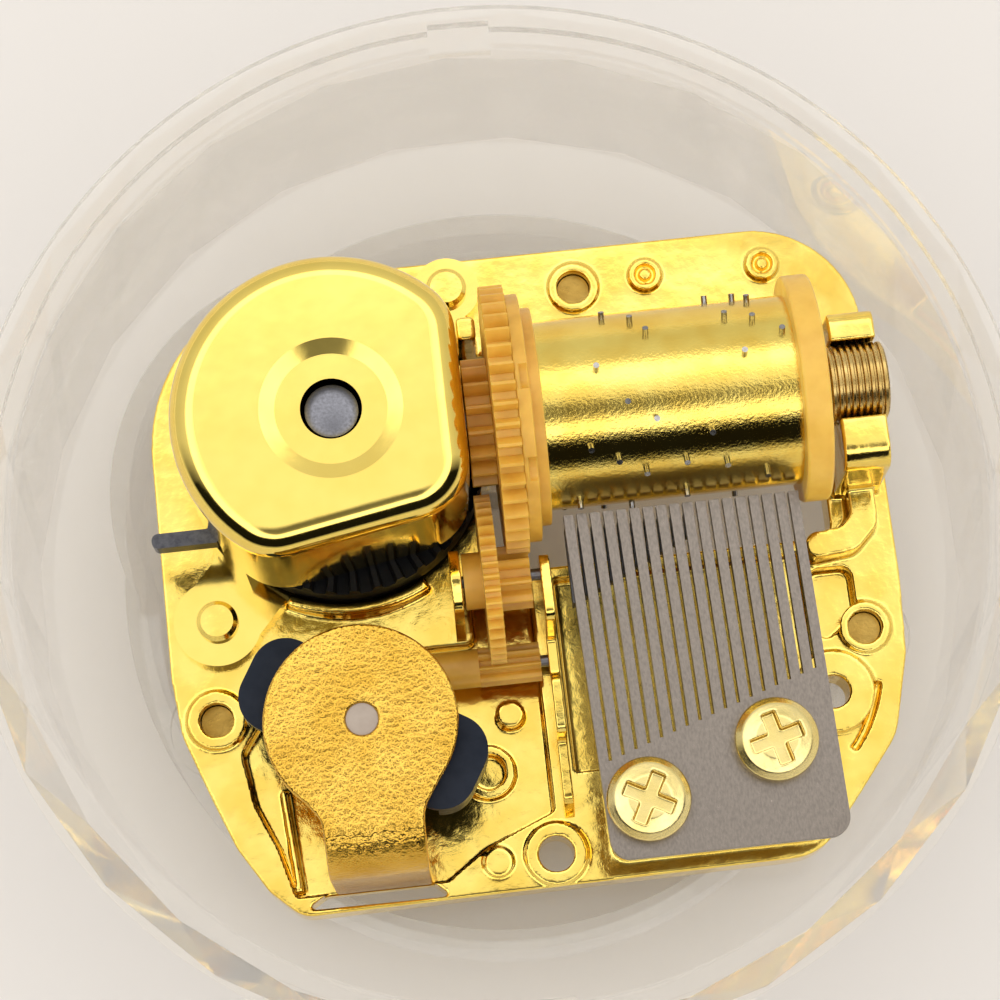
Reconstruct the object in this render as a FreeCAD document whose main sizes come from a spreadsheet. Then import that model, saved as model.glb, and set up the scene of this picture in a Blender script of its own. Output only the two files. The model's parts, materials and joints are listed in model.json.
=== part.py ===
import FreeCAD, Part
import math
import os
import re

import Sketcher

# Wind up music box: a clear case with a plated cylinder-and-comb movement.
# Case origin: centre of the foot ring's underside, +Z up, cylinder along +X.
# Movement parts are drawn in the movement's own frame (centre of the bedplate's
# underside) and placed by the cells movement_x, movement_y and movement_z.

os.makedirs("parts", exist_ok=True)
doc = FreeCAD.newDocument("wind_up_music_box")
sheet = doc.addObject("Spreadsheet::Sheet", "Sizes")

SIZES = (
    ("movement_x", 2.2),
    ("movement_y", -1.2),
    ("movement_z", 13.5),
    # case
    ("floor_low", 10.0),
    ("floor_top", 12.5),
    ("cavity_low_radius", 31.2),
    ("cavity_top_radius", 31.6),
    ("facet_low_radius", 32.5),
    ("facet_mid_radius", 33.0),
    ("facet_top_radius", 34.55),
    ("facet_mid_height", 25.3),
    ("facet_top_height", 29.1),
    ("facet_count", 24),
    ("facet_turn", 7.7),
    ("lip_radius", 34.85),
    ("lip_top", 29.8),
    ("spigot_outer", 32.9),
    ("spigot_inner", 31.75),
    ("spigot_top", 30.8),
    ("lug_width", 4.1),
    ("lug_inner", 31.3),
    ("lug_outer", 33.3),
    ("lug_turn", -1.4),
    ("post_radius", 3.5),
    ("foot_radius", 26.5),
    ("well_radius", 16.9),
    ("foot_wall", 1.4),
    ("floor_bore", 3.2),
    # mounting screws
    ("screw_head_radius", 2.0),
    ("screw_head_height", 1.7),
    ("screw_shank_radius", 1.1),
    ("screw_shank_bore", 1.15),
    ("screw_reach", 2.6),
    # bedplate
    ("plate_thickness", 3.2),
    ("pocket_floor", 1.6),
    ("fork_left", 21.0),
    ("fork_length", 3.1),
    ("fork_top", 12.5),
    ("pedestal_height", 7.2),
    # spring barrel and winding arbor
    ("arbor_x", -12.3),
    ("arbor_y", 8.6),
    ("arbor_radius", 1.75),
    ("arbor_bore", 1.8),
    ("arbor_top", 18.5),
    ("cap_radius", 10.55),
    ("cap_wall", 0.65),
    ("cap_top", 19.2),
    ("cap_edge", 1.7),
    ("cap_corner", 4.0),
    ("cap_flat_right", 8.5),
    ("cap_flat_front", 8.3),
    ("cap_front_turn", -80.3),
    ("cap_skirt", 7.75),
    ("cap_hole", 2.0),
    ("cap_dimple", 3.65),
    ("ear_thickness", 1.2),
    ("rivet_radius", 1.4),
    ("rivet_shank", 0.9),
    ("crown_teeth", 38),
    ("crown_low", 4.2),
    ("crown_root", 6.5),
    ("crown_tip", 7.5),
    ("crown_inner", 8.0),
    ("crown_outer", 9.75),
    # cylinder line
    ("cylinder_y", 8.6),
    ("cylinder_z", 11.0),
    ("tube_radius", 6.35),
    ("tube_wall", 0.5),
    ("tube_left", 1.3),
    ("tube_right", 18.1),
    ("pin_radius", 0.2),
    ("pin_height", 0.5),
    ("track_first", 2.38),
    ("track_pitch", 0.883),
    ("shaft_radius", 0.8),
    ("shaft_bore", 0.83),
    ("shaft_left", -4.5),
    ("shaft_right", 24.2),
    ("gear_teeth", 42),
    ("gear_module", 0.41),
    ("gear_left", -1.95),
    ("gear_right", -0.35),
    ("flange_radius", 8.3),
    ("shoulder_radius", 7.3),
    ("crown_pinion_teeth", 16),
    ("crown_pinion_pitch", 3.9),
    ("crown_pinion_tip", 4.3),
    ("crown_pinion_root", 3.35),
    ("crown_pinion_left", -3.65),
    ("end_cap_radius", 7.6),
    ("end_cap_right", 19.9),
    ("bush_radius", 2.6),
    ("bush_core", 2.38),
    ("bush_left", 20.6),
    ("bush_length", 3.9),
    ("bush_ribs", 9),
    # intermediate gear
    ("inter_y", -1.64),
    ("inter_z", 8.9),
    ("inter_pinion_teeth", 9),
    ("inter_wheel_teeth", 40),
    ("small_module", 0.27),
    ("axle_radius", 0.4),
    ("axle_bore", 0.44),
    # worm wheel and governor
    ("wheel_y", -6.85),
    ("wheel_z", 5.05),
    ("wheel_x", -12.5),
    ("worm_pinion_teeth", 8),
    ("worm_wheel_teeth", 20),
    ("worm_wheel_tip", 2.6),
    ("governor_y", -10.7),
    ("governor_crest", 1.2),
    ("spindle_radius", 0.35),
    ("spindle_bore", 0.39),
    ("wing_radius", 8.6),
    ("wing_width", 6.4),
    ("wing_low", 8.3),
    ("wing_top", 11.3),
    ("wing_turn", -31.0),
    ("cover_radius", 6.35),
    ("cover_low", 11.9),
    ("cover_top", 13.2),
    # comb
    ("comb_low", 10.4),
    ("comb_top", 11.25),
    ("comb_teeth", 18),
    ("comb_left", 2.05),
    ("comb_gap", 0.22),
    ("comb_tip", 1.65),
    ("comb_screw_radius", 2.75),
    ("comb_screw_height", 1.65),
    # key
    ("key_reach", 12.0),
    ("key_low", 1.0),
    ("key_top", 9.5),
)

for row, (alias, value) in enumerate(SIZES, start=1):
    sheet.set("A%d" % row, alias)
    sheet.set("B%d" % row, str(value))
    sheet.setAlias("B%d" % row, alias)
doc.recompute()

NAMES = set(alias for alias, value in SIZES)
Vector = FreeCAD.Vector
Rotation = FreeCAD.Rotation
Placement = FreeCAD.Placement

# The three turns used for drawing: along +Z, along +X with the drawing plane on YZ.
TURN = {
    "Z": Rotation(),
    "X": Rotation(Vector(1, 1, 1), 120),
}
MOVEMENT = ("movement_x", "movement_y", "movement_z")
PLANES = {"XY": "XY_Plane", "YZ": "YZ_Plane", "XZ": "XZ_Plane"}

# Screw places in the movement frame, and the tune: track -> pin angles in degrees.
SCREWS = ((4.97, 19.54), (22.0, -6.6), (-22.55, -8.2))
EARS = ((-3.9, 20.0, 2.3), (-21.8, -1.68, 3.0))
TUNE = {}


def size(name):
    """Value of a cell of the sheet."""
    return float(sheet.get(name))


def formula(text):
    """Sheet names in an expression get the sheet's name in front."""
    return re.sub(
        r"[a-z][a-z_]*[a-z]",
        lambda m: "Sizes." + m.group(0) if m.group(0) in NAMES else m.group(0),
        str(text),
    )


def bind(obj, prop, text):
    obj.setExpression(prop, formula(text))


def locate(obj, at, turn=None):
    """Put an object at three expressions, turned by a rotation."""
    obj.Placement = Placement(Vector(0, 0, 0), turn or Rotation())
    for axis, text in zip("xyz", at):
        bind(obj, "Placement.Base." + axis, text)


def in_movement(obj):
    """Place a finished movement part in the case."""
    locate(obj, MOVEMENT)
    return obj


def on_upright(obj, x, y, turn=None):
    """Place a part drawn about its own upright axis."""
    locate(obj, ("movement_x + " + x, "movement_y + " + y, "movement_z"), turn)
    return obj


def on_level(obj, y, z):
    """Place a part drawn about +Z so that its axis lies along +X."""
    locate(obj, ("movement_x", "movement_y + " + y, "movement_z + " + z), TURN["X"])
    return obj


def rod(name, radius, length, at, along="Z"):
    obj = doc.addObject("Part::Cylinder", name)
    bind(obj, "Radius", radius)
    bind(obj, "Height", length)
    locate(obj, at, TURN[along])
    return obj


def cone(name, low, high, length, at, along="Z"):
    obj = doc.addObject("Part::Cone", name)
    bind(obj, "Radius1", low)
    bind(obj, "Radius2", high)
    bind(obj, "Height", length)
    locate(obj, at, TURN[along])
    return obj


def block(name, sides, at, turn=None):
    obj = doc.addObject("Part::Box", name)
    for prop, text in zip(("Length", "Width", "Height"), sides):
        bind(obj, prop, text)
    locate(obj, at, turn)
    return obj


def fuse(name, shapes):
    obj = doc.addObject("Part::MultiFuse", name)
    obj.Shapes = shapes
    return obj


def cut(name, base, tools):
    obj = doc.addObject("Part::Cut", name)
    obj.Base = base
    obj.Tool = tools[0] if len(tools) == 1 else fuse(name + "_tools", tools)
    return obj


def common(name, base, tool):
    obj = doc.addObject("Part::Common", name)
    obj.Base = base
    obj.Tool = tool
    return obj


def drawn(name, shape):
    """A part whose form needs Part functions; its placement is set afterwards."""
    obj = doc.addObject("Part::Feature", name)
    obj.Shape = shape
    return obj


def round_outline(corners):
    """Lines and arcs through corners given as (x, y) or (x, y, radius)."""
    count = len(corners)
    entries = []
    for index, corner in enumerate(corners):
        here = Vector(corner[0], corner[1], 0)
        before = Vector(corners[index - 1][0], corners[index - 1][1], 0)
        after = Vector(corners[(index + 1) % count][0], corners[(index + 1) % count][1], 0)
        back = before - here
        ahead = after - here
        radius = corner[2] if len(corner) > 2 else 0.0
        if radius == 0.0:
            entries.append((here, here, None))
            continue
        room = 0.49 * min(back.Length, ahead.Length)
        back.normalize()
        ahead.normalize()
        half = back.getAngle(ahead) / 2
        reach = radius / math.tan(half)
        if reach > room:
            reach = room
            radius = reach * math.tan(half)
        middle = back + ahead
        middle.normalize()
        centre = here + middle * (radius / math.sin(half))
        first = here + back * reach
        last = here + ahead * reach
        start = math.atan2(first.y - centre.y, first.x - centre.x)
        stop = math.atan2(last.y - centre.y, last.x - centre.x)
        left_turn = back.cross(ahead).z < 0
        if not left_turn:
            start, stop = stop, start
        arc = Part.ArcOfCircle(Part.Circle(centre, Vector(0, 0, 1), radius), start, stop)
        entries.append((first, last, arc))
    curves = []
    for index, (first, last, arc) in enumerate(entries):
        if arc is not None:
            curves.append(arc)
        target = entries[(index + 1) % count][0]
        if (target - last).Length > 1e-6:
            curves.append(Part.LineSegment(last, target))
    return curves


def new_body(name):
    return doc.addObject("PartDesign::Body", name)


def new_sketch(body, name, plane, level):
    sketch = body.newObject("Sketcher::SketchObject", name)
    features = body.Origin.OriginFeatures
    sketch.AttachmentSupport = [([f for f in features if f.Role == PLANES[plane]][0], "")]
    sketch.MapMode = "FlatFace"
    bind(sketch, "AttachmentOffset.Base.z", level)
    return sketch


def draw(sketch, loops):
    """Closed loops into a sketch: ("ring", x, y, radius) or a list of corners."""
    for loop in loops:
        if loop[0] == "ring":
            circle = Part.Circle(Vector(loop[1], loop[2], 0), Vector(0, 0, 1), 1.0)
            index = sketch.addGeometry(circle)
            row = sketch.addConstraint(Sketcher.Constraint("Radius", index, 1.0))
            bind(sketch, "Constraints[%d]" % row, loop[3])
        else:
            sketch.addGeometry(round_outline(loop))
    sketch.detectMissingPointOnPointConstraints()
    sketch.makeMissingPointOnPointCoincident()


def raise_on(body, name, plane, level, loops, length):
    sketch = new_sketch(body, name + "_sketch", plane, level)
    draw(sketch, loops)
    pad = body.newObject("PartDesign::Pad", name)
    pad.Profile = sketch
    bind(pad, "Length", length)
    body.Tip = pad
    return pad


def sink(body, name, plane, level, loops, length):
    sketch = new_sketch(body, name + "_sketch", plane, level)
    draw(sketch, loops)
    pocket = body.newObject("PartDesign::Pocket", name)
    pocket.Profile = sketch
    bind(pocket, "Length", length)
    body.Tip = pocket
    return pocket


def polar(radius, angle, height=0.0):
    turn = math.radians(angle)
    return Vector(radius * math.cos(turn), radius * math.sin(turn), height)


def arc_band(x, y, inner, outer, start, stop, steps=16):
    """Corners of a ring sector around (x, y)."""
    angles = [start + (stop - start) * k / steps for k in range(steps + 1)]
    outside = [(x + polar(outer, a).x, y + polar(outer, a).y) for a in angles]
    inside = [(x + polar(inner, a).x, y + polar(inner, a).y) for a in reversed(angles)]
    return outside + inside


def gear_points(teeth, pitch, tip, root, fill, phase):
    """Outline of a spur gear with involute flanks, pressure angle 20 degrees."""
    base = pitch * math.cos(math.radians(20))

    def unwind(radius):
        angle = math.acos(min(1.0, base / radius))
        return math.tan(angle) - angle

    def half(radius):
        return fill * math.pi / teeth + unwind(pitch) - unwind(max(radius, base))

    low = max(root, base)
    radii = [low + (tip - low) * k / 3 for k in range(4)]
    if root < base:
        radii.insert(0, root)
    points = []
    for tooth in range(teeth):
        centre = math.radians(phase) + 2 * math.pi * tooth / teeth
        flank = [polar(r, math.degrees(centre - half(r))) for r in radii]
        other = [polar(r, math.degrees(centre + half(r))) for r in reversed(radii)]
        points += flank + other
    return points


def gear_solid(points, left, right, bore):
    """Gear outline pulled along its axis from left to right, with a bore."""
    raised = [point + Vector(0, 0, left) for point in points]
    face = Part.Face(Part.makePolygon(raised + [raised[0]]))
    solid = face.extrude(Vector(0, 0, right - left))
    hole = Part.makeCylinder(bore, right - left + 2, Vector(0, 0, left - 1))
    return solid.cut(hole)


# ---------------------------------------------------------------- case
def faceted_wall():
    """Solid bounded by triangles between three rings of corners."""
    count = int(size("facet_count"))
    step = 360.0 / count
    turn = size("facet_turn")
    rings = []
    for radius, height, shift in (
        ("facet_low_radius", "floor_low", 0.0),
        ("facet_mid_radius", "facet_mid_height", step / 2),
        ("facet_top_radius", "facet_top_height", 0.0),
    ):
        angles = [turn + shift + step * k for k in range(count)]
        rings.append([polar(size(radius), a, size(height)) for a in angles])
    low, middle, top = rings

    def triangle(a, b, c):
        return Part.Face(Part.makePolygon([a, b, c, a]))

    faces = [
        Part.Face(Part.makePolygon(low + [low[0]])),
        Part.Face(Part.makePolygon(top + [top[0]])),
    ]
    for k in range(count):
        after = (k + 1) % count
        faces.append(triangle(low[k], low[after], middle[k]))
        faces.append(triangle(middle[k - 1], low[k], middle[k]))
        faces.append(triangle(top[k], middle[k], top[after]))
        faces.append(triangle(middle[k - 1], middle[k], top[k]))
    solid = Part.makeSolid(Part.makeShell(faces))
    if solid.Volume < 0:
        solid.reverse()
    return solid


def case_places():
    return [("movement_x + %s" % x, "movement_y + %s" % y) for x, y in SCREWS]


wall = drawn("case_wall", faceted_wall())
lip = rod("case_lip", "lip_radius", "lip_top - facet_top_height", (0, 0, "facet_top_height"))
spigot = cut(
    "case_spigot",
    rod("spigot_outside", "spigot_outer", "spigot_top - lip_top", (0, 0, "lip_top")),
    [rod("spigot_inside", "spigot_inner", "spigot_top - lip_top", (0, 0, "lip_top"))],
)
lug_turn = Rotation(Vector(0, 0, 1), size("lug_turn"))
lug_start = lug_turn.multVec(Vector(-size("lug_width") / 2, -size("lug_outer"), 0))
lug_bar = block(
    "lug_bar",
    ("lug_width", "2 * lug_outer", "spigot_top - lip_top"),
    (lug_start.x, lug_start.y, "lip_top"),
    lug_turn,
)
lugs = cut(
    "case_lugs",
    lug_bar,
    [rod("lug_gap", "lug_inner", "spigot_top - lip_top + 2", (0, 0, "lip_top - 1"))],
)
cavity = cone(
    "case_cavity",
    "cavity_low_radius",
    "cavity_top_radius",
    "lip_top - floor_top",
    (0, 0, "floor_top"),
)
posts = [
    rod("post_%d" % k, "post_radius", "movement_z - floor_top", (x, y, "floor_top"))
    for k, (x, y) in enumerate(case_places())
]
post_bores = [
    rod("post_bore_%d" % k, "screw_shank_bore", "4.5", (x, y, "floor_low - 0.5"))
    for k, (x, y) in enumerate(case_places())
]
hollow = cut("case_hollow", fuse("case_outside", [wall, lip]), [cavity])
case_solid = fuse("case_solid", [hollow, spigot, lugs] + posts)
floor_hole = rod(
    "floor_hole",
    "floor_bore",
    "floor_top - floor_low + 2",
    ("movement_x + arbor_x", "movement_y + arbor_y", "floor_low - 1"),
)
case_dish = cut("case_dish", case_solid, post_bores + [floor_hole])

foot_outer = fuse("foot_outside", [
    rod("foot_round", "foot_radius", "floor_low", (0, 0, 0)),
    rod("well_round", "well_radius", "floor_low",
        ("movement_x + arbor_x", "movement_y + arbor_y", 0)),
])
foot_inner = [
    rod("foot_room", "foot_radius - foot_wall", "floor_low + 2", (0, 0, -1)),
    rod("well_room", "well_radius - foot_wall", "floor_low + 2",
        ("movement_x + arbor_x", "movement_y + arbor_y", -1)),
    rod("screw_notch", "screw_head_radius + 0.5", "3",
        ("movement_x + %s" % SCREWS[1][0], "movement_y + %s" % SCREWS[1][1], "floor_low - 2.5")),
]
foot_ring = cut("foot_ring", foot_outer, foot_inner)

screw_parts = []
for k, (x, y) in enumerate(case_places()):
    screw_parts.append(rod("screw_head_%d" % k, "screw_head_radius", "screw_head_height",
                           (x, y, "floor_low - screw_head_height")))
    screw_parts.append(rod("screw_shank_%d" % k, "screw_shank_radius",
                           "movement_z + screw_reach - floor_low", (x, y, "floor_low")))
mounting_screws = fuse("mounting_screws", screw_parts)

# ---------------------------------------------------------------- bedplate
plate = new_body("bedplate")
PLATE_OUTLINE = [
    (-25.4, 22.45, 12.0), (-25.4, -5.0, 4.0), (-25.0, -9.0, 4.0), (-23.3, -13.7, 4.0),
    (-22.0, -17.0, 4.0), (-20.1, -20.1, 2.5), (-18.0, -22.05, 2.0), (17.0, -21.7, 4.0),
    (20.4, -17.6, 4.0), (23.2, -14.1, 4.0), (24.6, -8.6, 4.0), (24.9, -3.0, 3.0),
    (24.6, 22.4, 7.6),
]
raise_on(plate, "plate_slab", "XY", 0, [PLATE_OUTLINE], "plate_thickness")
MAIN_OPENING = [(-3.0, -0.1, 0.6), (20.6, -0.1, 1.0), (20.6, 15.3, 1.0), (-3.0, 15.3, 0.8)]
GEAR_POCKET = [
    (-21.05, -10.6, 1.0), (-20.5, -14.2, 2.0), (-19.2, -17.3, 1.0), (-18.3, -20.7, 0.3),
    (-8.1, -20.7, 0.5), (-5.2, -18.7, 2.0), (-0.5, -16.8, 0.4), (-0.5, -0.6, 0.3),
    (-4.6, -0.6, 0.3), (-4.6, -4.8, 0.6), (-16.8, -4.8, 1.0),
]
sink(plate, "cylinder_opening", "XY", "plate_thickness + 1", [MAIN_OPENING],
     "plate_thickness + 2")
sink(plate, "gear_pocket", "XY", "plate_thickness + 1", [GEAR_POCKET],
     "plate_thickness + 1 - pocket_floor")
FOOT_OPENING = [(-16.3, -20.7, 0.2), (-9.1, -20.7, 0.2), (-7.9, -21.7, 0.2),
                (-17.9, -21.6, 0.2)]
sink(plate, "foot_opening", "XY", "plate_thickness + 1", [FOOT_OPENING], "plate_thickness + 2")
RIGHT_STEP = [(18.6, -2.2, 0.8), (21.6, -2.2, 0.8), (21.6, -5.6, 1.2), (18.6, -7.8, 0.8)]
sink(plate, "right_step", "XY", "plate_thickness + 1", [RIGHT_STEP],
     "plate_thickness + 0.4 - pocket_floor / 2")
COMB_STEP = [(1.2, -0.9, 0.3), (18.0, -0.9, 0.3), (18.0, -9.5, 0.5), (3.4, -14.3, 0.5),
             (1.2, -14.3, 0.3)]
sink(plate, "comb_step", "XY", "plate_thickness + 1", [COMB_STEP],
     "plate_thickness + 0.4 - pocket_floor / 2")
groove = arc_band(13.0, -8.4, 9.35, 9.85, -42, -12)
sink(plate, "curved_groove", "XY", "plate_thickness + 1", [groove], "1.7")

BOSSES = (
    # x, y, outer radius, height above the plate
    (4.97, 19.54, 1.75, 0.25), (22.0, -6.6, 1.75, 0.25), (-22.55, -8.2, 2.0, 0.35),
    (-0.67, -19.68, 2.1, 0.25), (19.3, -10.8, 2.8, 0.25), (10.04, 19.83, 1.15, 0.6),
    (18.26, 19.73, 1.15, 0.6), (-4.6, -19.8, 1.0, 0.2),
)
for k, (x, y, radius, height) in enumerate(BOSSES):
    raise_on(plate, "boss_%d" % k, "XY", "plate_thickness", [[
        (x + polar(radius, a).x, y + polar(radius, a).y) for a in range(0, 360, 12)
    ]], height)
RINGS = ((10.04, 19.83), (18.26, 19.73))
for k, (x, y) in enumerate(RINGS):
    sink(plate, "stud_dip_%d" % k, "XY", "plate_thickness + 0.7",
         [("ring", x, y, "0.72"), ("ring", x, y, "0.42")], "0.6")
HOLES = ((-0.67, -19.68, "1.2"), (19.3, -10.8, "1.1"),
         (EARS[0][0], EARS[0][1], "rivet_shank + 0.02"),
         (EARS[1][0], EARS[1][1], "rivet_shank + 0.02"),
         (SCREWS[0][0], SCREWS[0][1], "screw_shank_bore"),
         (SCREWS[1][0], SCREWS[1][1], "screw_shank_bore"),
         (SCREWS[2][0], SCREWS[2][1], "screw_shank_bore"),
         (size("arbor_x"), size("arbor_y"), "arbor_bore"))
for k, (x, y, radius) in enumerate(HOLES):
    sink(plate, "plate_hole_%d" % k, "XY", "plate_thickness + 1.5", [("ring", x, y, radius)],
         "plate_thickness + 3")
raise_on(plate, "fork_block", "YZ", "fork_left",
         [[(2.6, 3.0), (13.3, 3.0), (13.3, 12.5, 1.0), (2.6, 12.5, 1.6)]], "fork_length")
FORK_GAP = [(5.95, 16.0), (5.95, 8.35, 2.6), (11.25, 8.35, 2.6), (11.25, 16.0)]
sink(plate, "fork_gap", "YZ", "fork_left + fork_length + 1", [FORK_GAP], "fork_length + 2")
ARM = [(23.6, 3.5), (23.6, 0.0, 1.4), (21.9, -1.6, 1.4), (18.5, -1.95, 0.8),
       (18.5, -0.15, 0.8), (21.1, 0.1, 1.0), (21.8, 1.0, 0.8), (21.8, 3.5)]
raise_on(plate, "side_arm", "XY", "plate_thickness", [ARM], "2.3")
ridge = arc_band(size("arbor_x"), size("arbor_y"), 10.0, 10.7, -116, -62)
raise_on(plate, "gear_ridge", "XY", "plate_thickness", [ridge], "1.5")
raise_on(plate, "left_ridge", "XY", "pocket_floor",
         [[(-18.75, -13.4), (-18.3, -13.4), (-17.8, -20.3), (-18.25, -20.3)]], "1.3")
raise_on(plate, "bent_post", "XY", "plate_thickness",
         [[(-3.6, 15.0, 0.3), (-2.3, 15.0, 0.3), (-2.3, 16.6, 0.3), (-3.6, 16.6, 0.3)]], "5.8")
PEDESTAL = [(3.2, -20.6, 0.8), (17.2, -20.6, 0.8), (17.2, -11.4, 0.5), (3.2, -15.9, 0.5)]
raise_on(plate, "comb_pedestal", "XY", "plate_thickness", [PEDESTAL], "pedestal_height")
raise_on(plate, "small_ring", "XY", "pocket_floor",
         [("ring", -4.6, -13.6, "1.8"), ("ring", -4.6, -13.6, "1.2")], "1.1")
raise_on(plate, "small_pin", "XY", "pocket_floor", [("ring", -2.7, -9.9, "0.9")], "1.5")
for k, (x, y) in enumerate(((5.4, -17.75), (14.1, -14.8))):
    sink(plate, "comb_screw_hole_%d" % k, "XY", "comb_low + 1", [("ring", x, y, "1.02")], "6")
in_movement(plate)

# ---------------------------------------------------------------- brackets
RIGHT_BRACKET = [(-0.5, 3.2), (-0.5, 10.4, 1.0), (-5.0, 11.0, 0.8), (-5.7, 6.6, 0.3),
                 (-8.1, 6.6, 0.3), (-8.4, 7.4, 0.5), (-12.0, 7.2, 0.6), (-12.4, 5.2, 0.4),
                 (-16.4, 5.0, 0.8), (-17.4, 3.2)]
bracket = new_body("gear_bracket_right")
raise_on(bracket, "bracket_plate", "YZ", "0.15", [RIGHT_BRACKET], "0.7")
sink(bracket, "bracket_bores", "YZ", "1.5",
     [("ring", size("inter_y"), size("inter_z"), "axle_bore"),
      ("ring", size("wheel_y"), size("wheel_z"), "axle_bore")], "3")
in_movement(bracket)

LEFT_BRACKET = [(0.4, 3.2), (0.4, 10.2, 1.0), (-1.64, 11.0, 1.5), (-3.7, 10.2, 1.0),
                (-4.6, 3.2)]
bracket = new_body("gear_bracket_left")
raise_on(bracket, "left_plate", "YZ", "-5.8", [LEFT_BRACKET], "0.7")
sink(bracket, "left_bore", "YZ", "-4.6",
     [("ring", size("inter_y"), size("inter_z"), "axle_bore")], "2")
in_movement(bracket)

WORM_BEARING = [(-5.2, 1.6), (-5.2, 6.2, 1.2), (-8.5, 6.2, 1.2), (-8.5, 1.6)]
bearing = new_body("worm_bearing")
raise_on(bearing, "bearing_plate", "YZ", "-15.8", [WORM_BEARING], "0.8")
sink(bearing, "bearing_bore", "YZ", "-14.6",
     [("ring", size("wheel_y"), size("wheel_z"), "axle_bore")], "2")
in_movement(bearing)

# ---------------------------------------------------------------- governor cover
COVER_PROFILE = [(-12.0, 11.9), (-19.75, 11.9, 1.6), (-19.75, 1.6), (-20.65, 1.6),
                 (-20.65, 13.2, 3.4), (-12.0, 13.2)]
cover = new_body("governor_cover")
raise_on(cover, "cover_neck", "YZ", "-15.7", [COVER_PROFILE], "6.55")
SHOULDERS = [(-17.7, -14.4), (-15.75, -16.9, 2.0), (-15.7, -18.0), (-9.15, -18.0),
             (-9.1, -16.9, 2.0), (-7.4, -14.4)]
raise_on(cover, "cover_shoulders", "XY", "cover_low", [SHOULDERS], "cover_top - cover_low")
raise_on(cover, "cover_disc", "XY", "cover_low",
         [("ring", -12.6, -10.8, "cover_radius")], "cover_top - cover_low")
sink(cover, "cover_bore", "XY", "cover_top + 1", [("ring", -12.5, -10.7, "1.06")], "4")
in_movement(cover)

governor_bearing = in_movement(cut(
    "governor_bearing",
    rod("bearing_disc", "1.05", "cover_top - cover_low - 0.2",
        ("wheel_x", "governor_y", "cover_low")),
    [rod("bearing_dip", "spindle_bore", "0.8", ("wheel_x", "governor_y", "cover_low - 0.1"))],
))

# ---------------------------------------------------------------- spring barrel
def barrel_form(inset, low, top, edge):
    """Drum solid: a round with two flats and soft corners, set in by inset."""
    corner = size("cap_corner")
    middle = size("cap_radius") - corner
    front = size("cap_front_turn")
    spread_right = math.degrees(math.acos((size("cap_flat_right") - corner) / middle))
    spread_front = math.degrees(math.acos((size("cap_flat_front") - corner) / middle))
    meet_x = size("cap_flat_right") - corner
    meet_y = size("cap_flat_front") - corner - meet_x * math.cos(math.radians(front))
    meet_y = meet_y / math.sin(math.radians(front))
    bends = (
        (Vector(0, 0, 0), size("cap_radius") - inset, spread_right, 360 + front - spread_front),
        (polar(middle, front - spread_front), corner - inset, front - spread_front, front),
        (Vector(meet_x, meet_y, 0), corner - inset, front, 0.0),
        (polar(middle, spread_right), corner - inset, 0.0, spread_right),
    )
    edges = []
    first = None
    last = None
    for centre, radius, start, stop in bends:
        points = [centre + polar(radius, a) for a in (start, (start + stop) / 2, stop)]
        if last is not None and (points[0] - last).Length > 1e-6:
            edges.append(Part.makeLine(last, points[0]))
        edges.append(Part.Arc(*points).toShape())
        first = first or points[0]
        last = points[2]
    if (first - last).Length > 1e-6:
        edges.append(Part.makeLine(last, first))
    solid = Part.Face(Part.Wire(edges)).extrude(Vector(0, 0, top - low))
    solid.translate(Vector(0, 0, low))
    rim = [e for e in solid.Edges if e.BoundBox.ZMin > top - 1e-6]
    return solid.makeFillet(edge, rim)


def barrel_shape():
    low = size("plate_thickness")
    top = size("cap_top")
    thick = size("cap_wall")
    shell = barrel_form(0.0, low, top, size("cap_edge"))
    shell = shell.cut(barrel_form(thick, low - 1, top - thick, size("cap_edge") - thick))
    skirt = size("cap_skirt") - low + 1
    for turn in (0.0, size("cap_front_turn")):
        away = Part.makeBox(30, 60, skirt, Vector(6.5, -30, low - 1))
        away.rotate(Vector(0, 0, 0), Vector(0, 0, 1), turn)
        shell = shell.cut(away)
    for x, y, radius in EARS:
        dx = x - size("arbor_x")
        dy = y - size("arbor_y")
        reach = math.hypot(dx, dy)
        strap = Part.makeBox(reach - 10.0, 2 * radius - 0.4, size("ear_thickness"),
                             Vector(10.0, 0.2 - radius, low))
        strap.rotate(Vector(0, 0, 0), Vector(0, 0, 1), math.degrees(math.atan2(dy, dx)))
        ear = Part.makeCylinder(radius, size("ear_thickness"), Vector(dx, dy, low))
        hole = Part.makeCylinder(size("rivet_shank") + 0.02, 4, Vector(dx, dy, low - 1))
        shell = shell.fuse([strap, ear]).cut(hole)
    # the sunk middle: a soft ramp down to a flat ring around the arbor hole
    dimple = Part.makeCone(size("cap_dimple"), size("cap_dimple") + 1.0, 0.3,
                           Vector(0, 0, top - 0.3))
    shell = shell.cut(dimple)
    shell = shell.cut(Part.makeCylinder(size("cap_hole"), 4, Vector(0, 0, top - 2)))
    slot = Part.makeBox(3.0, 1.3, 4.3, Vector(-10.6, -6.35, 6.8))
    bore = Part.makeCylinder(size("shaft_bore"), 3, Vector(7.0, 0, size("cylinder_z")),
                             Vector(1, 0, 0))
    return shell.cut(slot).cut(bore).removeSplitter()


barrel_cap = on_upright(drawn("barrel_cap", barrel_shape()), "arbor_x", "arbor_y")

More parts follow.
